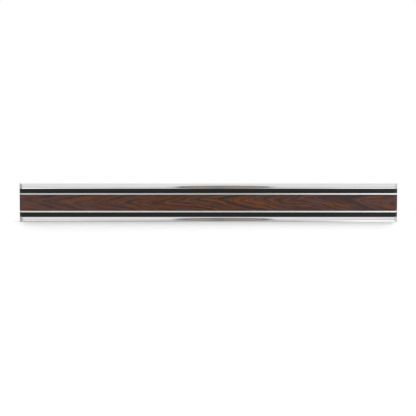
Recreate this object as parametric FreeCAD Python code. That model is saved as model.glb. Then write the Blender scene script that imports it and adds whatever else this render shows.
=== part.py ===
"""Magnetic knife rack: a slim wall-mounted bar that holds knives on two steel pole strips.

Two polished aluminium rails, with rounded beads along their fronts, are joined at the back by an
aluminium plate. Between the beads lie a black filler strip, a steel pole strip, a wooden inlay, a
second pole strip and a second filler strip. A row of ferrite magnets, kept apart by spacers, stands
behind the inlay and between the pole strips, and a plug closes each end of their channel. The front
is bevelled at both ends.

Frame, in millimetres: +X along the bar, +Z up, +Y into the wall. The origin is the centre of the
back plate's wall face, so the front of the rack faces -Y. Depths are measured forward from the wall.
"""
import FreeCAD, Part
import math
import os

# ---- driving dimensions -------------------------------------------------------------------------
length = 450.0

wood_width = 19.2
pole_thickness = 1.8
filler_width = 5.3
rail_width = 6.3

face_depth = 13.2          # front of the wood and of the fillers
crown_depth = 14.2         # highest line of the rails' beads
pole_front_depth = 14.4    # the pole strips stand proudest, so blades touch them first
bead_radius = 3.8
side_draft = math.radians(5.0)   # the sides lean in towards the wall

wall = 1.8                 # thickness of the rail's side
bead_back = 9.8            # flat back of the solid bead, which hooks over the filler's core
ledge_width = 4.0          # inward ledge that the back plate is screwed to
ledge_thickness = 1.6
plate_thickness = 1.5

pole_foot = 3.2            # how far the pole's foot reaches under the filler
fit_gap = 0.1              # clearance between parts that slide together
edge_round = 0.3           # softened front edges of wood, fillers and poles
end_bevel = 4.3            # 45 degree bevel at both ends, measured on the beads' highest line

magnet_count = 8
magnet_length = 40.0
magnet_chamfer = 0.4
spacer_length = 5.0
inlay_thickness = 3.4

keyhole_x = 198.0
keyhole_entry_z = -4.0
keyhole_entry_radius = 4.5
keyhole_slot_radius = 2.25
keyhole_slot_z = 4.5       # centre of the slot's upper end

screw_columns = (-205.0, -102.5, 0.0, 102.5, 205.0)
screw_z = 18.5
screw_shank_radius = 1.4
screw_head_radius = 2.7
screw_head_recess = 0.05   # heads sit just under the wall face
screw_length = 6.2
screw_tip = 1.2            # length of the taper
screw_tip_radius = 0.35
screw_gap = 0.05
cross_width = 0.6
cross_length = 3.0
cross_depth = 0.8

end_plug_length = 12.0
end_plug_inset = 0.3
end_plug_screw_x = 219.0
core_width = 6.0           # hollows moulded into the inner face of an end plug
core_height = 4.6
core_length = 8.5
core_z = 5.4

# ---- derived places -----------------------------------------------------------------------------
half_length = length / 2
wood_edge = wood_width / 2
pole_edge = wood_edge + pole_thickness
filler_edge = pole_edge + filler_width
half_height = filler_edge + rail_width
bead_z = half_height - bead_radius
bead_depth = crown_depth - bead_radius
foot_depth = plate_thickness + ledge_thickness
channel_front = face_depth - inlay_thickness
magnet_pitch = magnet_length + spacer_length
magnet_row_half = (magnet_count * magnet_pitch + spacer_length) / 2


def place(x, depth, z):
    """A point that far forward of the wall."""
    return FreeCAD.Vector(x, -depth, z)


def bead_depth_at(z):
    """Depth of the bead's round front at that height."""
    return bead_depth + math.sqrt(bead_radius**2 - (z - bead_z) ** 2)


def side_z(depth, inset=0.0):
    """Height of the drafted side at that depth, or of the line that lies this far inside it."""
    radius = bead_radius - inset
    tangent_z = bead_z + radius * math.cos(side_draft)
    tangent_depth = bead_depth - radius * math.sin(side_draft)
    return tangent_z - (tangent_depth - depth) * math.tan(side_draft)


def rounded_outline(corners):
    """Edges of a closed outline in the plane x = -half_length, from (z, depth, rounding) corners."""
    starts, ends, mids = [], [], []
    for i, (z, depth, r) in enumerate(corners):
        here = place(-half_length, depth, z)
        before = place(-half_length, corners[i - 1][1], corners[i - 1][0])
        after_z, after_depth, _ = corners[(i + 1) % len(corners)]
        after = place(-half_length, after_depth, after_z)
        to_before = (before - here).normalize()
        to_after = (after - here).normalize()
        half_angle = to_before.getAngle(to_after) / 2
        trim = r / math.tan(half_angle)
        starts.append(here + to_before * trim)
        ends.append(here + to_after * trim)
        inward = (to_before + to_after).normalize()
        mids.append(here + inward * (r / math.sin(half_angle) - r))
    edges = []
    for i, (_, _, r) in enumerate(corners):
        if r > 0:
            edges.append(Part.Arc(starts[i], mids[i], ends[i]).toShape())
        edges.append(Part.LineSegment(ends[i], starts[(i + 1) % len(corners)]).toShape())
    return edges


def bar(edges):
    """The outline run along the whole length."""
    face = Part.Face(Part.Wire(edges))
    return face.extrude(FreeCAD.Vector(length, 0, 0))


def box(x0, x1, depth0, depth1, z0, z1):
    """A block between two ends, two depths and two heights."""
    corner = place(x0, depth1, z0)
    return Part.makeBox(x1 - x0, depth1 - depth0, z1 - z0, corner)


def rod(x, z, radius, depth0, depth1, far_radius=None):
    """A round or tapered rod along the depth."""
    start = place(x, depth0, z)
    forward = FreeCAD.Vector(0, -1, 0)
    if far_radius is None:
        return Part.makeCylinder(radius, depth1 - depth0, start, forward)
    return Part.makeCone(radius, far_radius, depth1 - depth0, start, forward)


def bevel_ends(shape):
    """Cuts the 45 degree bevels across both ends of the front."""
    bevel_start = crown_depth - end_bevel
    beyond = 2 * end_bevel
    bottom = -half_height - beyond
    for side in (-1, 1):
        corners = [
            place(side * half_length, bevel_start, bottom),
            place(side * (half_length - beyond), bevel_start + beyond, bottom),
            place(side * (half_length + beyond), bevel_start + beyond, bottom),
        ]
        wedge = Part.Face(Part.makePolygon(corners + corners[:1]))
        shape = shape.cut(wedge.extrude(FreeCAD.Vector(0, 0, -2 * bottom)))
    return shape


def below(shape):
    """The same piece for the lower half of the rack."""
    return shape.mirror(FreeCAD.Vector(0, 0, 0), FreeCAD.Vector(0, 0, 1))


# ---- the rails and the strips between them --------------------------------------------------------
def screw_holes(x, z):
    """What one screw passes through: a countersink in the plate and a plain hole beyond it."""
    head = rod(x, z, screw_head_radius + screw_gap, 0, screw_cone_end(), screw_shank_radius + screw_gap)
    shank = rod(x, z, screw_shank_radius + screw_gap, 0, screw_length + screw_gap)
    return head.fuse(shank)


def screw_cone_end():
    """Depth at which the 90 degree head has narrowed to the shank."""
    return screw_head_radius - screw_shank_radius + screw_head_recess


def drill_screw_holes(shape):
    """Drills the upper row of screw holes."""
    for x in screw_columns:
        shape = shape.cut(screw_holes(x, screw_z))
    return shape


def rail():
    """Upper rail: solid bead over a leaning side, with a ledge that lies on the back plate."""
    tangent = (bead_z + bead_radius * math.cos(side_draft), bead_depth - bead_radius * math.sin(side_draft))
    halfway = math.radians(45)
    bead_middle = (bead_z + bead_radius * math.cos(halfway), bead_depth + bead_radius * math.sin(halfway))
    bead_inner = (filler_edge, bead_depth_at(filler_edge))
    rear_inner = side_z(plate_thickness, wall)
    corners = [
        bead_inner,
        (filler_edge, bead_back),
        (side_z(bead_back, wall), bead_back),
        (side_z(foot_depth, wall), foot_depth),
        (rear_inner - ledge_width, foot_depth),
        (rear_inner - ledge_width, plate_thickness),
        (rear_inner, plate_thickness),
        (rear_inner, 0),
        (side_z(0), 0),
        tangent,
    ]
    points = [place(-half_length, depth, z) for z, depth in corners]
    edges = [Part.LineSegment(a, b).toShape() for a, b in zip(points, points[1:])]
    bead_top = place(-half_length, bead_middle[1], bead_middle[0])
    edges.append(Part.Arc(points[-1], bead_top, points[0]).toShape())
    return drill_screw_holes(bevel_ends(bar(edges)))


def filler():
    """Upper filler strip: its core fills the rail behind the bead and takes the screws' tips."""
    inner = pole_edge + fit_gap / 2
    outer = filler_edge - fit_gap / 2
    core_front = bead_back - fit_gap
    shape = bevel_ends(bar(rounded_outline([
        (inner, foot_depth, 0),
        (side_z(foot_depth, wall) - fit_gap, foot_depth, 0),
        (side_z(core_front, wall) - fit_gap, core_front, 0),
        (outer, core_front, 0),
        (outer, face_depth, edge_round),
        (inner, face_depth, edge_round),
    ])))
    return drill_screw_holes(shape)


def pole():
    """Upper pole strip: a steel fin with a foot under the filler, which keeps it from lifting out."""
    return bevel_ends(bar(rounded_outline([
        (wood_edge, plate_thickness, 0),
        (pole_edge + pole_foot, plate_thickness, 0),
        (pole_edge + pole_foot, foot_depth, 0),
        (pole_edge, foot_depth, 0),
        (pole_edge, pole_front_depth, edge_round),
        (wood_edge, pole_front_depth, edge_round),
    ])))


def wood_inlay():
    """Rosewood slat between the pole strips."""
    edge = wood_edge - fit_gap / 2
    return bevel_ends(bar(rounded_outline([
        (-edge, channel_front, 0),
        (edge, channel_front, 0),
        (edge, face_depth, edge_round),
        (-edge, face_depth, edge_round),
    ])))


# ---- the magnet channel ---------------------------------------------------------------------------
def channel_block(x0, x1):
    """A block that fills the channel between the poles from the plate to the inlay."""
    edge = wood_edge - fit_gap / 2
    return box(x0, x1, plate_thickness, channel_front, -edge, edge)


def magnet(index):
    """One ferrite block of the row, counted from the left."""
    x0 = -magnet_row_half + spacer_length + index * magnet_pitch
    block = channel_block(x0, x0 + magnet_length)
    return block.makeChamfer(magnet_chamfer, block.Edges)


def spacer(index):
    """One plastic spacer; the first and the last close the row."""
    x0 = -magnet_row_half + index * magnet_pitch
    return channel_block(x0, x0 + spacer_length)


def end_plug(side):
    """Moulded plug that closes the channel, cored out from its inner face."""
    outer_x = side * (half_length - end_plug_inset)
    inner_x = side * (half_length - end_plug_length)
    shape = channel_block(min(outer_x, inner_x), max(outer_x, inner_x))
    middle_depth = (plate_thickness + channel_front) / 2
    core_end = side * (half_length - end_plug_length + core_length)
    for core in (-core_z, core_z):
        shape = shape.cut(box(
            min(inner_x, core_end), max(inner_x, core_end),
            middle_depth - core_height / 2, middle_depth + core_height / 2,
            core - core_width / 2, core + core_width / 2,
        ))
    return shape.cut(screw_holes(side * end_plug_screw_x, 0))


# ---- the back -------------------------------------------------------------------------------------
def screw_places():
    """Where the screws stand: five on each rail and one in each end plug."""
    rail_places = [(x, z) for x in screw_columns for z in (-screw_z, screw_z)]
    return rail_places + [(-end_plug_screw_x, 0), (end_plug_screw_x, 0)]


def keyhole(x):
    """A hole that the wall screw's head passes, with a narrower slot rising from it."""
    entry = rod(x, keyhole_entry_z, keyhole_entry_radius, 0, plate_thickness)
    slot = box(x - keyhole_slot_radius, x + keyhole_slot_radius, 0, plate_thickness,
               keyhole_entry_z, keyhole_slot_z)
    top = rod(x, keyhole_slot_z, keyhole_slot_radius, 0, plate_thickness)
    return entry.fuse(slot).fuse(top)


def back_plate():
    """Flat plate that ties the rails together and hangs on the wall screws."""
    edge = side_z(plate_thickness, wall) - fit_gap
    shape = box(-half_length, half_length, 0, plate_thickness, -edge, edge)
    for x in (-keyhole_x, keyhole_x):
        shape = shape.cut(keyhole(x))
    for x, z in screw_places():
        shape = shape.cut(screw_holes(x, z))
    return shape


def screw(x, z):
    """Countersunk self-tapping screw with a cross recess."""
    head = rod(x, z, screw_head_radius, screw_head_recess, screw_cone_end(), screw_shank_radius)
    shank = rod(x, z, screw_shank_radius, screw_cone_end(), screw_length - screw_tip)
    tip = rod(x, z, screw_shank_radius, screw_length - screw_tip, screw_length, screw_tip_radius)
    shape = head.fuse(shank).fuse(tip)
    for across, up in ((cross_length, cross_width), (cross_width, cross_length)):
        shape = shape.cut(box(x - across / 2, x + across / 2, 0, screw_head_recess + cross_depth,
                              z - up / 2, z + up / 2))
    return shape


def build():
    """Every piece of the rack by name."""
    upper_rail, upper_filler, upper_pole = rail(), filler(), pole()
    pieces = {
        "upper_rail": upper_rail,
        "lower_rail": below(upper_rail),
        "upper_filler_strip": upper_filler,
        "lower_filler_strip": below(upper_filler),
        "upper_pole_strip": upper_pole,
        "lower_pole_strip": below(upper_pole),
        "wood_inlay": wood_inlay(),
        "back_plate": back_plate(),
        "back_plate_screws": Part.makeCompound([screw(x, z) for x, z in screw_places()]),
    }
    for side, word in ((-1, "left"), (1, "right")):
        pieces[f"{word}_end_plug"] = end_plug(side)
    for i in range(magnet_count):
        pieces[f"magnet_{i + 1}"] = magnet(i)
    for i in range(magnet_count + 1):
        pieces[f"magnet_spacer_{i + 1}"] = spacer(i)
    return pieces


os.makedirs("parts", exist_ok=True)
for name, shape in build().items():
    shape.exportStep(f"parts/{name}.step")
    size = shape.BoundBox
    print(f"{name}: {len(shape.Solids)} solid(s), valid {shape.isValid()}, {shape.Volume:.1f} mm3, "
          f"{size.XLength:.2f} x {size.YLength:.2f} x {size.ZLength:.2f}")
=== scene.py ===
"""Looks of the magnetic knife rack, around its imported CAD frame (metres, +Z up, front facing -Y)."""
import bmesh
import bpy
import math
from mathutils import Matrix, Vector

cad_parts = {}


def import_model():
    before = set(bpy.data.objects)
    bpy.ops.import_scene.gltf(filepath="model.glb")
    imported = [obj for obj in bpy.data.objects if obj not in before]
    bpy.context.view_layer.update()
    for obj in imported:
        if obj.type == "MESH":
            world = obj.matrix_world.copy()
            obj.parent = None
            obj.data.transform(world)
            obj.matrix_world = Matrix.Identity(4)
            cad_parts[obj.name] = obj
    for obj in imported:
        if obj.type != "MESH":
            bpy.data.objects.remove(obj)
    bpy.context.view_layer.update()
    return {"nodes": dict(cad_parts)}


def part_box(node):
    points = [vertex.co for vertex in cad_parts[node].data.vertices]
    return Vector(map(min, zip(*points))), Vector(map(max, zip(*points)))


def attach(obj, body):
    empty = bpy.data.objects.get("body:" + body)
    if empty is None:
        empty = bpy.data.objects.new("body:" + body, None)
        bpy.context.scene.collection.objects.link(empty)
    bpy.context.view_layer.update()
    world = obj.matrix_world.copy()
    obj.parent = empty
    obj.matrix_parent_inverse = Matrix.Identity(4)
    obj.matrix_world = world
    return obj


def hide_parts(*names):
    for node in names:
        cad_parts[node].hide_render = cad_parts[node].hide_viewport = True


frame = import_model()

MM = 0.001

# ---- sizes of the rack, in metres, from the frame where it has them ----------------------------
rail_low, rail_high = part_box("upper_rail")
filler_low, filler_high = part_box("upper_filler_strip")
pole_low, pole_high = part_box("upper_pole_strip")
wood_low, wood_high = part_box("wood_inlay")
plate_low, plate_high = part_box("back_plate")
screws_low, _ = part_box("back_plate_screws")

half_length = rail_high.x
half_height = rail_high.z
crown_depth = -rail_low.y
face_depth = -wood_low.y
channel_front = -wood_high.y
pole_front_depth = -pole_low.y
plate_thickness = -plate_low.y
foot_depth = -filler_high.y
screw_length = -screws_low.y
wood_edge = pole_low.z
pole_thickness = 1.8 * MM
filler_width = 5.3 * MM
pole_edge = wood_edge + pole_thickness
filler_edge = pole_edge + filler_width

bead_radius = 3.8 * MM
bead_z = half_height - bead_radius
bead_depth = crown_depth - bead_radius
side_draft = math.radians(5)
wall = 1.8 * MM
bead_back = 9.8 * MM
fit_gap = 0.1 * MM
end_bevel = 4.3 * MM
bevel_start = crown_depth - end_bevel
front_round = 0.3 * MM       # softened front edges of the strips and of the inlay
arc_steps = 7                # per softened edge
bead_steps = 56              # along the bead's round front

screw_columns = (-205.0 * MM, -102.5 * MM, 0.0, 102.5 * MM, 205.0 * MM)
screw_z = 18.5 * MM
end_screw_x = 219.0 * MM
head_radius = 2.7 * MM
shank_radius = 1.4 * MM
screw_tip = 1.2 * MM         # length of the taper
head_recess = 0.05 * MM
screw_gap = 0.05 * MM
head_end = head_recess + head_radius - shank_radius
turn_steps = 48              # round a screw or a hole

keyhole_x = 198.0 * MM
entry_z = -4.0 * MM
entry_radius = 4.5 * MM
slot_radius = 2.25 * MM
slot_z = 4.5 * MM            # centre of the slot's upper end

core_z = 5.4 * MM            # centres of an end plug's two hollows, above and below its middle
core_length = 8.5 * MM       # along the rack
core_depth = 4.6 * MM        # from front to back
core_height = 6.0 * MM

# how far the sharp edges of each kind of piece are rounded
rail_rounding = 0.12 * MM
filler_rounding = 0.1 * MM
pole_rounding = 0.1 * MM
wood_rounding = 0.03 * MM
plate_rounding = 0.05 * MM
plug_rounding = 0.3 * MM
sharp_angle = 35             # degrees; an edge that turns further than this is rounded
smooth_angle = 40            # degrees; an edge that turns less than this is shaded smooth

# ---- sections -----------------------------------------------------------------------------------
def arc_points(centre, radius, start, stop, steps):
    """Points of an arc in a section; angles in degrees, 0 away from the middle, 90 forward."""
    points = []
    for i in range(steps + 1):
        angle = math.radians(start + (stop - start) * i / steps)
        points.append((centre[0] + radius * math.cos(angle), centre[1] + radius * math.sin(angle)))
    return points


def side_z(depth, inset=0.0):
    """Height of the drafted side at that depth, or of the line that lies this far inside it."""
    radius = bead_radius - inset
    tangent_z = bead_z + radius * math.cos(side_draft)
    tangent_depth = bead_depth - radius * math.sin(side_draft)
    return tangent_z - (tangent_depth - depth) * math.tan(side_draft)


def rail_section():
    """(z, depth) outline of the upper rail, from its rear corner round the solid bead and back inside."""
    draft = math.degrees(side_draft)
    inner_edge = 180 - math.degrees(math.acos((bead_z - filler_edge) / bead_radius))
    bead = arc_points((bead_z, bead_depth), bead_radius, -draft, inner_edge, bead_steps)
    rear_inner = plate_high.z + fit_gap
    return [(side_z(0), 0)] + bead + [
        (filler_edge, bead_back),
        (side_z(bead_back, wall), bead_back),
        (side_z(foot_depth, wall), foot_depth),
        (rail_low.z, foot_depth),
        (rail_low.z, plate_thickness),
        (rear_inner, plate_thickness),
        (rear_inner, 0),
    ]


def softened(z, depth, side):
    """A front corner rounded off; side is 1 for the corner away from the middle and -1 for the other."""
    centre = (z - side * front_round, depth - front_round)
    start, stop = (0, 90) if side > 0 else (90, 180)
    return arc_points(centre, front_round, start, stop, arc_steps)


def filler_section():
    """(z, depth) outline of the upper filler strip."""
    inner = filler_low.z
    outer = filler_edge - fit_gap / 2
    core_front = bead_back - fit_gap
    return [
        (inner, foot_depth),
        (side_z(foot_depth, wall) - fit_gap, foot_depth),
        (side_z(core_front, wall) - fit_gap, core_front),
        (outer, core_front),
    ] + softened(outer, face_depth, 1) + softened(inner, face_depth, -1)


def pole_section():
    """(z, depth) outline of the upper pole strip, a fin on a foot."""
    return [
        (wood_edge, plate_thickness),
        (pole_high.z, plate_thickness),
        (pole_high.z, foot_depth),
        (pole_edge, foot_depth),
    ] + softened(pole_edge, pole_front_depth, 1) + softened(wood_edge, pole_front_depth, -1)


def wood_section():
    """(z, depth) outline of the inlay."""
    edge = wood_high.z
    return [
        (-edge, channel_front),
        (edge, channel_front),
    ] + softened(edge, face_depth, 1) + softened(-edge, face_depth, -1)


def lower(section):
    """The same outline below the middle."""
    return [(-z, depth) for z, depth in section]


# ---- mesh building --------------------------------------------------------------------------------
def prism(bm, low_ring, high_ring):
    """Closes two matching rings of points into a solid."""
    rings = [[bm.verts.new(point) for point in ring] for ring in (low_ring, high_ring)]
    count = len(low_ring)
    for i in range(count):
        j = (i + 1) % count
        bm.faces.new((rings[0][i], rings[0][j], rings[1][j], rings[1][i]))
    bm.faces.new(rings[0][::-1])
    bm.faces.new(rings[1])


def turned(bm, x, z, profile):
    """A solid of (radius, depth) points turned about the depth axis."""
    rings = []
    for radius, depth in profile:
        ring = []
        for i in range(turn_steps):
            angle = 2 * math.pi * i / turn_steps
            ring.append(bm.verts.new((x + radius * math.cos(angle), -depth, z + radius * math.sin(angle))))
        rings.append(ring)
    for near, far in zip(rings, rings[1:]):
        for i in range(turn_steps):
            j = (i + 1) % turn_steps
            bm.faces.new((near[i], near[j], far[j], far[i]))
    bm.faces.new(rings[0][::-1])
    bm.faces.new(rings[-1])


def finished(bm, name):
    """Turns a bmesh into an object in the scene."""
    bmesh.ops.recalc_face_normals(bm, faces=bm.faces)
    mesh = bpy.data.meshes.new(name)
    bm.to_mesh(mesh)
    bm.free()
    piece = bpy.data.objects.new(name, mesh)
    bpy.context.scene.collection.objects.link(piece)
    return piece


def bar(name, section):
    """The section run along the rack, with the 45 degree bevel cut across both ends of its front."""
    on_plane = 1e-7
    bm = bmesh.new()
    prism(bm, [(-half_length, -d, z) for z, d in section], [(half_length, -d, z) for z, d in section])
    bmesh.ops.recalc_face_normals(bm, faces=bm.faces)
    for side in (-1, 1):
        bmesh.ops.bisect_plane(
            bm, geom=bm.verts[:] + bm.edges[:] + bm.faces[:], dist=on_plane,
            plane_co=(side * half_length, -bevel_start, 0), plane_no=Vector((side, -1, 0)).normalized(),
            clear_outer=True,
        )
        bmesh.ops.holes_fill(bm, edges=[edge for edge in bm.edges if edge.is_boundary])
    return finished(bm, name)


def apply(piece):
    """Makes the modifiers' result the piece's own mesh."""
    graph = bpy.context.evaluated_depsgraph_get()
    mesh = bpy.data.meshes.new_from_object(piece.evaluated_get(graph))
    piece.modifiers.clear()
    piece.data = mesh


def cut(piece, bm):
    """Takes the solids of a bmesh out of the piece."""
    cutter = finished(bm, "cutter")
    boolean = piece.modifiers.new("cut", "BOOLEAN")
    boolean.object = cutter
    boolean.solver = "EXACT"
    apply(piece)
    bpy.data.objects.remove(cutter)


def smooth_below(piece, angle):
    """Shades the piece smooth, apart from edges that turn by more than this many degrees."""
    piece.data.shade_smooth()
    piece.data.set_sharp_from_angle(angle=math.radians(angle))


def soften(piece, width, segments=2):
    """Rounds every sharp edge by this width and shades the rest smooth."""
    rounding = piece.modifiers.new("rounding", "BEVEL")
    rounding.width = width
    rounding.segments = segments
    rounding.limit_method = "ANGLE"
    rounding.angle_limit = math.radians(sharp_angle)
    rounding.harden_normals = True
    smooth_below(piece, smooth_angle)
    apply(piece)


def screw_places():
    """Where the screws stand: five on each rail and one in each end plug."""
    rail_places = [(x, z) for x in screw_columns for z in (-screw_z, screw_z)]
    return rail_places + [(-end_screw_x, 0), (end_screw_x, 0)]


def screw_hole_cutter():
    """What the screws pass through, a countersink and a plain hole each."""
    beyond = 0.3 * MM
    bm = bmesh.new()
    for x, z in screw_places():
        turned(bm, x, z, [
            (head_radius + screw_gap + beyond, -beyond),
            (shank_radius + screw_gap, head_end),
            (shank_radius + screw_gap, screw_length + screw_gap),
        ])
    return bm


# ---- pieces -----------------------------------------------------------------------------------------
def rail(name, section):
    """Polished extrusion with its screw holes."""
    piece = bar(name, section)
    cut(piece, screw_hole_cutter())
    soften(piece, rail_rounding, 3)
    return piece


def filler(name, section):
    """Black profile with the holes that the screws' tips bite into."""
    piece = bar(name, section)
    cut(piece, screw_hole_cutter())
    soften(piece, filler_rounding)
    return piece


def strip(name, section, rounding):
    """A plain bar, which no screw reaches."""
    piece = bar(name, section)
    soften(piece, rounding)
    return piece


def keyhole_outline(x):
    """(x, z) points round a keyhole, from the slot's right foot round the entry and over the slot."""
    foot = math.degrees(math.acos(slot_radius / entry_radius))
    entry = arc_points((x, entry_z), entry_radius, foot, foot - 360 + 2 * (90 - foot), turn_steps)
    top = arc_points((x, slot_z), slot_radius, 180, 0, turn_steps // 2)
    return entry + top


def back_plate():
    """Flat plate with two keyholes and twelve countersunk holes."""
    bm = bmesh.new()
    low, high = plate_low, plate_high
    corners = [(low.x, low.z), (high.x, low.z), (high.x, high.z), (low.x, high.z)]
    prism(bm, [(x, low.y, z) for x, z in corners], [(x, high.y, z) for x, z in corners])
    piece = finished(bm, "back_plate_sheet")
    beyond = 0.5 * MM
    bm = screw_hole_cutter()
    for x in (-keyhole_x, keyhole_x):
        outline = keyhole_outline(x)
        prism(bm, [(px, low.y - beyond, pz) for px, pz in outline],
              [(px, high.y + beyond, pz) for px, pz in outline])
    cut(piece, bm)
    soften(piece, plate_rounding)
    return piece


def cross_outline(x, z, arm, width):
    """(x, z) corners of a cross recess, with its arm's half length and half width."""
    corners = []
    for turn in range(4):
        angle = turn * math.pi / 2
        for along, across in ((width, -width), (arm, -width), (arm, width)):
            corners.append((x + along * math.cos(angle) - across * math.sin(angle),
                            z + along * math.sin(angle) + across * math.cos(angle)))
    return corners


def back_plate_screws():
    """Countersunk screws with tapered cross recesses."""
    rim = 0.08 * MM
    recess_depth = 0.85 * MM
    beyond = 0.1 * MM
    arm, arm_width = 1.6 * MM, 0.36 * MM
    bottom_arm, bottom_width = 0.8 * MM, 0.22 * MM
    bodies, recesses = bmesh.new(), bmesh.new()
    for x, z in screw_places():
        turned(bodies, x, z, [
            (head_radius - 2 * rim, head_recess),
            (head_radius - rim, head_recess + rim / 4),
            (head_radius - rim / 2, head_recess + rim),
            (shank_radius, head_end),
            (shank_radius, screw_length - screw_tip),
            (shank_radius / 4, screw_length),
        ])
        wide = cross_outline(x, z, arm, arm_width)
        narrow = cross_outline(x, z, bottom_arm, bottom_width)
        prism(recesses, [(px, beyond, pz) for px, pz in wide],
              [(px, -head_recess - recess_depth, pz) for px, pz in narrow])
    piece = finished(bodies, "back_plate_screw_set")
    cut(piece, recesses)
    smooth_below(piece, 30)
    return piece


def end_plug(name, side):
    """Moulded plug with two hollows in its inner face."""
    low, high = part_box(name)
    bm = bmesh.new()
    corners = [(low.y, low.z), (high.y, low.z), (high.y, high.z), (low.y, high.z)]
    prism(bm, [(low.x, y, z) for y, z in corners], [(high.x, y, z) for y, z in corners])
    piece = finished(bm, name + "_moulding")
    inner_x = min(low.x * side, high.x * side) * side
    core_end = inner_x + side * core_length
    opening = inner_x - side * MM          # a little outside the face
    middle_y = (low.y + high.y) / 2
    front, back = middle_y - core_depth / 2, middle_y + core_depth / 2
    bm = screw_hole_cutter()
    for middle_z in (-core_z, core_z):
        bottom, top = middle_z - core_height / 2, middle_z + core_height / 2
        ring = [(front, bottom), (back, bottom), (back, top), (front, top)]
        prism(bm, [(opening, y, z) for y, z in ring], [(core_end, y, z) for y, z in ring])
    cut(piece, bm)
    soften(piece, plug_rounding, 3)
    return piece


# ---- materials ----------------------------------------------------------------------------------------
class Graph:
    """Nodes while they are wired up; values are sockets or plain numbers."""

    def __init__(self, tree, place):
        self.tree = tree
        self.coordinates = tree.nodes.new("ShaderNodeTexCoord").outputs
        self.place = self.coordinates[place]

    def feed(self, socket, value):
        """Wires a socket to this one, or sets it to a plain value."""
        if isinstance(value, bpy.types.NodeSocket):
            self.tree.links.new(value, socket)
        else:
            socket.default_value = value

    def stretched(self, x, y, z):
        """Coordinates counted in these lengths, in millimetres."""
        node = self.tree.nodes.new("ShaderNodeVectorMath")
        node.operation = "MULTIPLY"
        self.feed(node.inputs[0], self.place)
        node.inputs[1].default_value = (1 / (x * MM), 1 / (y * MM), 1 / (z * MM))
        return node.outputs["Vector"]

    def axes(self, place=None):
        """The x, y and z of a vector, by default of the graph's own coordinates."""
        node = self.tree.nodes.new("ShaderNodeSeparateXYZ")
        self.feed(node.inputs[0], place or self.place)
        return node.outputs

    def joined(self, x, y, z):
        """A vector of three values."""
        node = self.tree.nodes.new("ShaderNodeCombineXYZ")
        for socket, value in zip(node.inputs, (x, y, z)):
            self.feed(socket, value)
        return node.outputs["Vector"]

    def math(self, operation, a, b=0.0):
        """One arithmetic step."""
        node = self.tree.nodes.new("ShaderNodeMath")
        node.operation = operation
        for socket, value in zip(node.inputs, (a, b)):
            self.feed(socket, value)
        return node.outputs["Value"]

    def noise(self, place, detail=3.0, roughness=0.5):
        """Soft noise whose features are about as large as the lengths in place."""
        node = self.tree.nodes.new("ShaderNodeTexNoise")
        self.feed(node.inputs["Vector"], place)
        node.inputs["Scale"].default_value = 1.0
        node.inputs["Detail"].default_value = detail
        node.inputs["Roughness"].default_value = roughness
        return node.outputs["Fac"]

    def cells(self, place):
        """Distance from the nearest of many scattered points."""
        node = self.tree.nodes.new("ShaderNodeTexVoronoi")
        self.feed(node.inputs["Vector"], place)
        node.inputs["Scale"].default_value = 1.0
        return node.outputs["Distance"]

    def span(self, value, low, high, to_low=0.0, to_high=1.0, smooth=True):
        """Maps low to high onto to_low to to_high, easing in and out if smooth, and stops at both."""
        node = self.tree.nodes.new("ShaderNodeMapRange")
        node.interpolation_type = "SMOOTHSTEP" if smooth else "LINEAR"
        for name, number in (("Value", value), ("From Min", low), ("From Max", high),
                             ("To Min", to_low), ("To Max", to_high)):
            self.feed(node.inputs[name], number)
        return node.outputs["Result"]

    def spread(self, noise, to_low=0.0, to_high=1.0):
        """Noise, which mostly lies between 0.3 and 0.7, spread over this range."""
        return self.span(noise, 0.3, 0.7, to_low, to_high)

    def add(self, a, b):
        return self.math("ADD", a, b)

    def minus(self, a, b):
        return self.math("SUBTRACT", a, b)

    def times(self, a, b):
        return self.math("MULTIPLY", a, b)

    def ramp(self, value, stops):
        """The colour at a value from 0 to 1, between stops of (position, colour)."""
        node = self.tree.nodes.new("ShaderNodeValToRGB")
        self.feed(node.inputs["Fac"], value)
        elements = node.color_ramp.elements
        while len(elements) < len(stops):
            elements.new(0.5)
        for element, (position, colour) in zip(elements, stops):
            element.position = position
            element.color = (*colour, 1)
        return node.outputs["Color"]

    def mix(self, factor, a, b, blend="MIX"):
        """Colour a, going over to b as the factor goes from 0 to 1."""
        node = self.tree.nodes.new("ShaderNodeMix")
        node.data_type = "RGBA"
        node.blend_type = blend
        self.feed(node.inputs["Factor"], factor)
        for name, colour in (("A", a), ("B", b)):
            socket = [s for s in node.inputs if s.name == name and s.type == "RGBA"][0]
            self.feed(socket, colour if isinstance(colour, bpy.types.NodeSocket) else (*colour, 1))
        return [s for s in node.outputs if s.type == "RGBA"][0]


class Look(Graph):
    """A material on its way."""

    def __init__(self, name, metallic=0.0, specular=0.5):
        self.material = bpy.data.materials.new(name)
        self.material.use_nodes = True
        super().__init__(self.material.node_tree, "Object")
        self.facing = self.coordinates["Normal"]
        self.shader = self.tree.nodes["Principled BSDF"]
        self.shader.inputs["Metallic"].default_value = metallic
        self.shader.inputs["Specular IOR Level"].default_value = specular
        self.relief = None

    def along(self, across, width, run, length):
        """Coordinates for streaks this wide and this long, in millimetres, that follow a curved grain."""
        across = self.math("DIVIDE", across, width * MM)
        run = self.math("DIVIDE", run, length * MM)
        return self.joined(across, run, 0.0)

    def raise_by(self, height, distance):
        """Adds relief: height from 0 to 1 stands for this distance in millimetres."""
        node = self.tree.nodes.new("ShaderNodeBump")
        node.inputs["Distance"].default_value = distance * MM
        self.feed(node.inputs["Height"], height)
        if self.relief:
            self.tree.links.new(self.relief, node.inputs["Normal"])
        self.relief = node.outputs["Normal"]

    def finish(self, colour, roughness):
        """Wires colour, roughness and relief to the shader and hands over the material."""
        self.feed(self.shader.inputs["Base Color"], colour)
        self.feed(self.shader.inputs["Roughness"], roughness)
        if self.relief:
            self.tree.links.new(self.relief, self.shader.inputs["Normal"])
        return self.material


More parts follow.
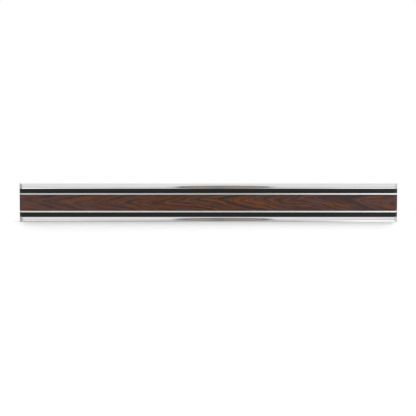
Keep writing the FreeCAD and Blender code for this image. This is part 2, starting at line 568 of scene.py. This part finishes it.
def cut_face(look):
    """1 on the faces across the bar's ends, 0 along it."""
    across = look.math("ABSOLUTE", look.axes(look.facing)[0])
    return look.span(across, 0.3, 0.6)


def polished_aluminium():
    """Bright extrusion, with painted shade in the corner above the lower bead and sawn faces at its ends."""
    hazy, clear = (0.80, 0.80, 0.805), (0.84, 0.84, 0.84)
    dark_saw, pale_saw = (0.46, 0.46, 0.455), (0.62, 0.62, 0.615)
    # painted shade: the colour darkens to grey in the corner where the lower bead meets the black strip
    corner_shade_grey, corner_shade_cover = (0.05, 0.05, 0.05), 0.85
    corner_shade_foot, corner_shade_full, corner_shade_end = -0.55 * MM, -0.2 * MM, 0.1 * MM   # heights from the corner
    look = Look("polished_aluminium", metallic=1.0)
    die_lines = look.noise(look.stretched(400, 0.25, 0.25), detail=4)
    haze = look.noise(look.stretched(30, 6, 6), detail=4, roughness=0.6)
    saw = look.noise(look.stretched(0.4, 0.12, 3.0), detail=3)
    swells = look.noise(look.stretched(45, 40, 40), detail=1)
    cut = cut_face(look)
    height, corner = look.axes()[2], -filler_edge
    # mask of the painted shade, a thin band just above the lower bead's inner edge
    tint_mask = look.times(look.span(height, corner + corner_shade_foot, corner + corner_shade_full),
                      look.span(height, corner, corner + corner_shade_end, 1.0, 0.0))
    colour = look.mix(look.spread(haze), hazy, clear)
    colour = look.mix(look.times(tint_mask, corner_shade_cover), colour, corner_shade_grey)
    colour = look.mix(cut, colour, look.mix(saw, dark_saw, pale_saw))
    polished = look.add(look.spread(haze, 0.06, 0.10), look.span(die_lines, 0.4, 0.7, 0.0, 0.03))
    sawn = look.spread(saw, 0.26, 0.36)
    roughness = look.add(look.times(polished, look.minus(1.0, cut)), look.times(sawn, cut))
    look.raise_by(swells, 0.01)
    look.raise_by(die_lines, 0.0004)
    return look.finish(colour, roughness)


def satin_black():
    """Matt extruded plastic, with fine lines along it and a few dusty patches."""
    clean, dusty = (0.0105, 0.0105, 0.011), (0.018, 0.018, 0.018)
    look = Look("satin_black_pvc", specular=0.16)
    lines = look.noise(look.stretched(300, 0.3, 0.3), detail=3)
    grain = look.noise(look.stretched(0.25, 0.25, 0.25), detail=2)
    tint_mask = look.span(look.noise(look.stretched(14, 3, 1.2), detail=6, roughness=0.7), 0.55, 0.8)
    roughness = look.add(look.spread(lines, 0.34, 0.46), look.span(tint_mask, 0, 1, 0, 0.1))
    look.raise_by(lines, 0.006)
    look.raise_by(grain, 0.002)
    return look.finish(look.mix(tint_mask, clean, dusty), roughness)


def ground_steel(name, dull, bright, right_end_sheen=0.0):
    """Ground strip; its last argument is how much a painted highlight brightens its right part."""
    sheen_white, groove, scratch = (0.96, 0.96, 0.95), (0.40, 0.40, 0.40), (0.82, 0.82, 0.81)
    sheen_start, sheen_full = 40 * MM, 170 * MM
    look = Look(name, metallic=1.0)
    lines = look.noise(look.stretched(60, 0.08, 0.08), detail=4)
    patches = look.noise(look.stretched(25, 4, 4), detail=4, roughness=0.6)
    strokes = look.noise(look.stretched(0.35, 2.0, 6.0), detail=4, roughness=0.7)
    scratches = look.span(strokes, 0.63, 0.72)
    # painted highlight: the colour goes towards white along the strip's right part
    painted_sheen = look.span(look.axes()[0], sheen_start, sheen_full, 0.0, right_end_sheen)
    colour = look.mix(patches, dull, bright)
    colour = look.mix(painted_sheen, colour, sheen_white)
    colour = look.mix(look.span(lines, 0.35, 0.65, 0.0, 0.12), colour, groove)
    colour = look.mix(look.times(scratches, 0.4), colour, scratch)
    roughness = look.add(look.spread(lines, 0.41, 0.48), look.times(scratches, 0.06))
    look.raise_by(lines, 0.002)
    look.raise_by(scratches, -0.002)
    return look.finish(colour, roughness)


def rosewood():
    """Cathedral grain: growth lines that meet in V's, all open towards +x."""
    pale, pale_orange = (0.083, 0.036, 0.028), (0.124, 0.039, 0.0115)
    dark, dark_orange = (0.027, 0.0145, 0.0125), (0.034, 0.012, 0.0058)
    pore_brown, pore_cover = (0.010, 0.005, 0.0045), 0.55
    end_dark, end_pale = (0.040, 0.015, 0.010), (0.072, 0.028, 0.018)
    tip_radius = 0.8 * MM        # of the V's
    slope = 0.2                  # of their arms
    wander = 4.5 * MM            # how far the growth lines stray
    look = Look("rosewood", specular=0.2)
    x, _, z = look.axes()

    drift = look.noise(look.stretched(90, 60, 60), detail=1)
    centre = look.span(drift, 0.3, 0.7, -2.0 * MM, 6.0 * MM, smooth=False)
    wobble = look.noise(look.stretched(26, 12, 4.5), detail=3, roughness=0.5)
    across = look.minus(z, centre)
    arch = look.math("SQRT", look.add(look.times(across, across), tip_radius ** 2))
    cone = look.minus(arch, look.times(x, slope))
    growth = look.add(cone, look.times(wobble, wander))
    rings = look.noise(look.along(growth, 2.4, x, 400), detail=3, roughness=0.6)
    streaks = look.noise(look.along(growth, 0.55, x, 20), detail=4, roughness=0.6)

    # more orange towards the bar's middle
    blush = look.noise(look.stretched(24, 20, 4), detail=3)
    heart = look.span(look.math("ABSOLUTE", x), 30 * MM, 190 * MM, 0.10, -0.045)
    orange = look.span(look.add(blush, heart), 0.44, 0.66)
    darkest = look.mix(orange, dark, dark_orange)
    lightest = look.mix(orange, pale, pale_orange)

    # growth lines that are fainter towards both ends, on wood painted paler towards the left one, standing
    # in for brighter light there
    figure = look.minus(look.span(rings, 0.36, 0.64), 0.5)
    figure = look.times(figure, look.span(x, -150 * MM, -30 * MM, 0.45, 0.88))
    figure = look.times(figure, look.span(x, 50 * MM, 130 * MM, 1.0, 0.76))
    painted_left_light = look.span(x, -190 * MM, -60 * MM, 0.14, 0.0)
    tone = look.add(look.add(figure, painted_left_light), look.span(streaks, 0.32, 0.68, 0.10, 0.85))
    colour = look.mix(look.span(tone, 0.0, 1.0), darkest, lightest)

    pore = look.span(look.noise(look.stretched(7, 1, 0.16), detail=2), 0.62, 0.72)
    colour = look.mix(look.times(pore, pore_cover), colour, pore_brown)
    end_grain = look.noise(look.stretched(1.0, 0.3, 0.3), detail=3)
    colour = look.mix(cut_face(look), colour, look.mix(end_grain, end_dark, end_pale))
    roughness = look.add(look.spread(streaks, 0.42, 0.55), look.times(pore, 0.15))
    look.raise_by(pore, -0.05)
    look.raise_by(streaks, 0.02)
    return look.finish(colour, roughness)


def mill_aluminium():
    """Rolled sheet as it left the mill, a little stained and scuffed."""
    clean, stained, scuffed = (0.62, 0.63, 0.64), (0.50, 0.505, 0.51), (0.74, 0.74, 0.745)
    look = Look("mill_aluminium", metallic=1.0)
    rolling = look.noise(look.stretched(90, 2, 0.12), detail=4)
    stains = look.noise(look.stretched(38, 10, 14), detail=6, roughness=0.65)
    scuffs = look.span(look.noise(look.stretched(9, 2, 0.35), detail=5, roughness=0.7), 0.6, 0.72)
    colour = look.mix(look.span(stains, 0.35, 0.7), clean, stained)
    colour = look.mix(look.times(scuffs, 0.4), colour, scuffed)
    roughness = look.add(look.spread(rolling, 0.30, 0.42), look.span(stains, 0.4, 0.7, 0.0, 0.1))
    look.raise_by(rolling, 0.004)
    return look.finish(colour, roughness)


def zinc():
    """Bright plating with a faint spangle."""
    bluish, yellowish = (0.52, 0.55, 0.60), (0.68, 0.67, 0.62)
    look = Look("zinc_plate", metallic=1.0)
    spangle = look.noise(look.stretched(1.4, 1.4, 1.4), detail=3)
    grit = look.noise(look.stretched(0.15, 0.15, 0.15), detail=2)
    look.raise_by(grit, 0.004)
    return look.finish(look.mix(spangle, bluish, yellowish), look.spread(spangle, 0.24, 0.38))


def moulded_plastic(name, dark, light):
    """Finely textured plastic with faint flow marks."""
    look = Look(name, specular=0.35)
    texture = look.noise(look.stretched(0.18, 0.18, 0.18), detail=3)
    flow = look.noise(look.stretched(5, 5, 3), detail=3)
    look.raise_by(texture, 0.012)
    return look.finish(look.mix(flow, dark, light), look.spread(flow, 0.5, 0.64))


def ferrite():
    """Dark sintered ceramic, grainy and chipped."""
    dark, light = (0.030, 0.030, 0.033), (0.060, 0.060, 0.064)
    look = Look("ferrite", specular=0.4)
    grain = look.noise(look.stretched(0.3, 0.3, 0.3), detail=4)
    chips = look.span(look.cells(look.stretched(2.2, 2.2, 2.2)), 0.0, 0.3, 1.0, 0.0)
    look.raise_by(grain, 0.02)
    look.raise_by(chips, -0.04)
    return look.finish(look.mix(grain, dark, light), look.spread(grain, 0.62, 0.8))


# ---- assembly of the visual model ---------------------------------------------------------------------
def dress(piece, node, material):
    """Stands the piece in for its CAD node."""
    piece.data.materials.clear()
    piece.data.materials.append(material)
    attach(piece, "root")
    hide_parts(node)


def repaint(node, material):
    """Gives a CAD node that stays its own finish."""
    for holder in frame["nodes"][node].material_slots:
        holder.material = material


def build_rack():
    """Every piece of the rack, and the magnets and spacers, which keep their CAD shapes."""
    aluminium, black = polished_aluminium(), satin_black()
    # lit and shaded copies of one steel: the lower strip is painted brighter than the upper one, standing in
    # for the brighter reflection it shows
    steel = {
        "upper": ground_steel("ground_steel_upper", right_end_sheen=0.6,
                              dull=(0.62, 0.62, 0.61), bright=(0.72, 0.72, 0.71)),
        "lower": ground_steel("ground_steel_lower",
                              dull=(0.82, 0.82, 0.81), bright=(0.91, 0.91, 0.90)),
    }
    moulded = moulded_plastic("moulded_black", dark=(0.014, 0.014, 0.015), light=(0.022, 0.022, 0.023))
    nylon = moulded_plastic("spacer_nylon", dark=(0.28, 0.28, 0.27), light=(0.36, 0.36, 0.34))
    magnet = ferrite()
    for word, section in (("upper", rail_section()), ("lower", lower(rail_section()))):
        dress(rail(word + "_rail_extrusion", section), word + "_rail", aluminium)
    for word, section in (("upper", filler_section()), ("lower", lower(filler_section()))):
        dress(filler(word + "_filler_profile", section), word + "_filler_strip", black)
    for word, section in (("upper", pole_section()), ("lower", lower(pole_section()))):
        fin = strip(word + "_pole_fin", section, pole_rounding)
        dress(fin, word + "_pole_strip", steel[word])
    dress(strip("wood_inlay_slat", wood_section(), wood_rounding), "wood_inlay", rosewood())
    dress(back_plate(), "back_plate", mill_aluminium())
    dress(back_plate_screws(), "back_plate_screws", zinc())
    for word, side in (("left", -1), ("right", 1)):
        dress(end_plug(word + "_end_plug", side), word + "_end_plug", moulded)
    for node in frame["nodes"]:
        if node.startswith("magnet_spacer"):
            repaint(node, nylon)
        elif node.startswith("magnet"):
            repaint(node, magnet)


# ---- studio ---------------------------------------------------------------------------------------------
camera_lens = 80.0
camera_sensor = 36.0
camera_elevation = math.radians(3)
camera_distance = 1.1026
camera_aim = Vector((-0.5 * MM, -bevel_start, -6.4 * MM))   # the rack sits a little above the middle

fill = 0.95                  # what the surroundings add to matt surfaces
level_range = 2.0            # no level of the tent is above this; its ramps hold shares of it
# The tent that polished surfaces show. Brightness by how far up a direction points, from -1 to 1:
tent_upward = ((-1.0, 0.74), (-0.4, 0.76), (-0.05, 0.78), (0.15, 0.92), (0.6, 0.93), (1.0, 0.89))
# brightness of its floor from left to right:
floor_across = ((-0.3, 1.9), (-0.2, 1.85), (-0.17, 1.25), (-0.12, 0.85), (-0.05, 0.62), (0.08, 0.64),
                (0.12, 0.8), (0.16, 1.3), (0.2, 1.25), (0.3, 1.1))
# and a factor from left to right:
tent_across = ((-1.0, 0.95), (-0.9, 0.55), (-0.72, 0.5), (-0.55, 1.0),
               (0.55, 1.0), (0.72, 0.8), (0.9, 1.2), (1.0, 1.4))
# The floor shows alone below the first of these upward values, and the walls alone above the second.
floor_alone, walls_alone = -0.95, -0.62
# the dark card's bands, as shares of its half width, and which of its greys each has
card_edges = (-1.0, -0.82, -0.25, 0.0, 0.8, 1.0)
card_tones = (2, 0, 1, 0, 2)


def camera():
    """Looks straight at the front, from just above."""
    data = bpy.data.cameras.new("camera")
    data.lens = camera_lens
    data.sensor_width = camera_sensor
    view = bpy.data.objects.new("camera", data)
    bpy.context.scene.collection.objects.link(view)
    bpy.context.scene.camera = view
    back = Vector((0, -math.cos(camera_elevation), math.sin(camera_elevation)))
    view.location = camera_aim + back * camera_distance
    view.rotation_euler = (math.pi / 2 - camera_elevation, 0, 0)


def level_along(graph, value, stops):
    """Brightness by a value from -1 to 1, as a share of level_range."""
    place = graph.span(value, -1.0, 1.0, smooth=False)
    return graph.ramp(place, [((at + 1) / 2, (level / level_range,) * 3) for at, level in stops])


def light_of(graph, colour, strength):
    """Surroundings of this colour."""
    node = graph.tree.nodes.new("ShaderNodeBackground")
    graph.feed(node.inputs["Color"], colour)
    graph.feed(node.inputs["Strength"], strength)
    return node.outputs[0]


def either(graph, which, off, on):
    """One of two surroundings: the first where which is 0, the second where it is 1."""
    node = graph.tree.nodes.new("ShaderNodeMixShader")
    for socket, value in zip(node.inputs, (which, off, on)):
        graph.feed(socket, value)
    return node.outputs[0]


def world():
    """White to the camera, an even fill for matt surfaces, and a graded tent for polished ones."""
    studio = bpy.data.worlds.new("studio")
    studio.use_nodes = True
    bpy.context.scene.world = studio
    graph = Graph(studio.node_tree, "Generated")
    nodes = studio.node_tree.nodes
    x, _, z = graph.axes()
    walls = level_along(graph, z, tent_upward)
    floor = level_along(graph, x, floor_across)
    tent = graph.mix(graph.span(z, floor_alone, walls_alone, 1.0, 0.0), walls, floor)
    tent = graph.mix(1.0, tent, level_along(graph, x, tent_across), blend="MULTIPLY")
    seen = nodes.new("ShaderNodeLightPath").outputs
    directly = graph.math("LESS_THAN", seen["Diffuse Depth"], 1.0)
    white = (1, 1, 1, 1)
    # two ramps are multiplied in the tent, and it is dark to rays that come off matt surfaces
    shown = light_of(graph, tent, graph.times(directly, level_range ** 2))
    lighting = either(graph, seen["Is Glossy Ray"], light_of(graph, white, fill), shown)
    backdrop = light_of(graph, white, 1.0)
    choice = either(graph, seen["Is Camera Ray"], lighting, backdrop)
    graph.feed(nodes["World Output"].inputs["Surface"], choice)
    nodes.remove(nodes["Background"])


def softbox(name, place, width, height, radiance):
    """A rectangular light that faces the rack."""
    data = bpy.data.lights.new(name, "AREA")
    data.shape = "RECTANGLE"
    data.size = width
    data.size_y = height
    data.energy = radiance * math.pi * width * height
    light = bpy.data.objects.new(name, data)
    light.location = place
    light.rotation_euler = (-Vector(place)).to_track_quat("-Z", "Y").to_euler()
    bpy.context.scene.collection.objects.link(light)


def plain_material(name, colour, glowing=False):
    """A matt studio surface, or one that shows this colour whatever the light."""
    material = bpy.data.materials.new(name)
    material.use_nodes = True
    shader = material.node_tree.nodes["Principled BSDF"]
    shader.inputs["Specular IOR Level"].default_value = 0.0
    shader.inputs["Roughness"].default_value = 1.0
    shader.inputs["Base Color"].default_value = (0, 0, 0, 1) if glowing else (*colour, 1)
    shader.inputs["Emission Color"].default_value = (*colour, 1)
    shader.inputs["Emission Strength"].default_value = 1.0 if glowing else 0.0
    return material


def wall_sweep():
    """Pale wall below the rack's lower edge, curving forward into a pale floor."""
    top = -side_z(0)
    floor = -0.62
    sweep_radius = 0.25
    half_width = 3.0
    reach = 3.0
    behind = 0.2 * MM
    curve_steps = 12
    outline = [(behind, top)]
    for i in range(curve_steps + 1):
        angle = math.radians(90 * i / curve_steps)
        outline.append((-sweep_radius * (1 - math.cos(angle)), floor + sweep_radius * (1 - math.sin(angle))))
    outline.append((-reach, floor))
    bm = bmesh.new()
    for x in (-half_width, half_width):
        for y, z in outline:
            bm.verts.new((x, y, z))
    bm.verts.ensure_lookup_table()
    count = len(outline)
    for i in range(count - 1):
        bm.faces.new([bm.verts[k] for k in (i, i + 1, count + i + 1, count + i)])
    sweep = finished(bm, "studio_sweep")
    sweep.data.shade_smooth()
    sweep.data.materials.append(plain_material("pale_paper", (0.9, 0.9, 0.9)))
    sweep.visible_glossy = False


def reflected_only(bm, name, materials):
    """A card that shows nowhere but in polished surfaces."""
    card = finished(bm, name)
    for material in materials:
        card.data.materials.append(material)
    card.visible_camera = False
    card.visible_diffuse = False
    card.visible_shadow = False


def dark_card():
    """A dim oval card, curved round the rack's front, with darker tips and a darker middle."""
    radius = 0.55
    half_width = 0.0852
    middle_x = 0.0268
    low, high = math.radians(-80), math.radians(38)
    steps = 40
    same_place = 1e-5
    bm = bmesh.new()
    rows = []
    # each row is as wide as the oval at its height; the fourth power gives it blunter tips than an ellipse
    for i in range(steps + 1):
        t = 2 * i / steps - 1
        angle = low + (high - low) * i / steps
        half = half_width * math.sqrt(1 - t ** 4)
        y, z = -radius * math.cos(angle), radius * math.sin(angle)
        rows.append([bm.verts.new((middle_x + max(-half, min(half, share * half_width)), y, z))
                     for share in card_edges])
    for near, far in zip(rows, rows[1:]):
        for k, tone in enumerate(card_tones):
            face = bm.faces.new((near[k], near[k + 1], far[k + 1], far[k]))
            face.material_index = tone
    bmesh.ops.remove_doubles(bm, verts=bm.verts, dist=same_place)
    greys = ((0.325, 0.295, 0.285), (0.25, 0.24, 0.235), (0.19, 0.20, 0.22))
    cards = [plain_material("grey_card_" + str(i), grey, glowing=True) for i, grey in enumerate(greys)]
    reflected_only(bm, "studio_card", cards)


def under_card():
    """A grey card below the rack, which draws the dark line along the lower bead's underside."""
    left, right = -half_length - 20 * MM, 190 * MM
    behind, before = 8 * MM, -19 * MM
    wide_before, wide_end = -26 * MM, -150 * MM    # it is deeper at its left end
    slant_start = 100 * MM                         # from here to the right its front edge runs back
    height = -half_height - 25 * MM
    corners = ((left, behind), (right, behind), (slant_start, before),
               (wide_end, before), (left, wide_before))
    bm = bmesh.new()
    bm.faces.new([bm.verts.new((x, y, height)) for x, y in corners])
    grey = plain_material("grey_card", (0.42, 0.42, 0.41), glowing=True)
    reflected_only(bm, "studio_under_card", [grey])


def studio():
    """Surroundings, lights, wall and cards."""
    scene = bpy.context.scene
    scene.view_settings.view_transform = "Standard"
    scene.view_settings.look = "None"
    world()
    softbox("left_softbox", place=(-1.4, -0.8, 0.1), width=0.8, height=1.0, radiance=1.8)
    softbox("right_softbox", place=(0.95, -1.0, 0.15), width=0.7, height=0.9, radiance=2.65)
    wall_sweep()
    dark_card()
    under_card()


camera()
build_rack()
studio()
